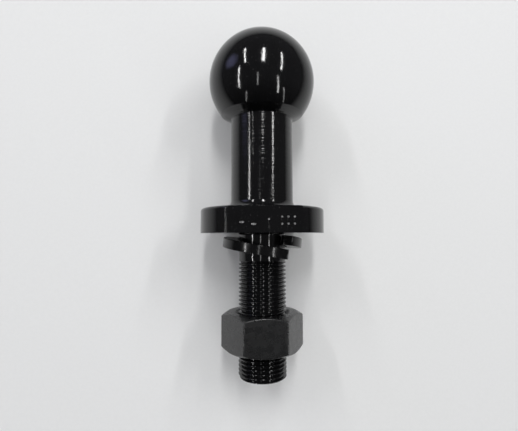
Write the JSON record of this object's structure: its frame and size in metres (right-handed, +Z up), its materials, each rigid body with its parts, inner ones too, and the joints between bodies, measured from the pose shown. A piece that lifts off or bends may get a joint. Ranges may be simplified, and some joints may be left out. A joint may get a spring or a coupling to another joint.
{
  "type": "trailer hitch ball",
  "caption": "Tow ball forged in one with its neck, flange and threaded shank, with a split lock washer and a hex nut.",
  "frame": {"origin": "middle of the box's underside, on the surface that the hitch ball lies on, touching it with the ball and with one wrench flat", "axes": "+Y from the shank's end towards the ball, and +Z up from the lower wrench flat to the upper one; the stud's own axis runs along (0, 0.999809, 0.019534), because the ball stands 1.4 mm prouder than the flat"},
  "size_m": [0.0572, 0.1618, 0.05],
  "materials": {
    "gloss_black_paint": "gloss black paint over forged and turned steel",
    "black_spring_steel": "satin black finish on spring steel",
    "black_nut_finish": "satin black finish on forged steel"
  },
  "bodies": {
    "stud": {"ball_stud": "gloss_black_paint"},
    "washer": {"lock_washer": "black_spring_steel"},
    "nut": {"hex_nut": "black_nut_finish"}
  },
  "joints": [
    {"name": "washer_slide", "type": "slide", "parent": "stud", "child": "washer", "axis": [0, -0.9998, -0.0195], "range_m": [-0.0005, 0.014]},
    {"name": "nut_travel", "type": "slide", "parent": "stud", "child": "nut", "axis": [0, -0.9998, -0.0195], "range_m": [-0.00907, 0.03084]}
  ]
}
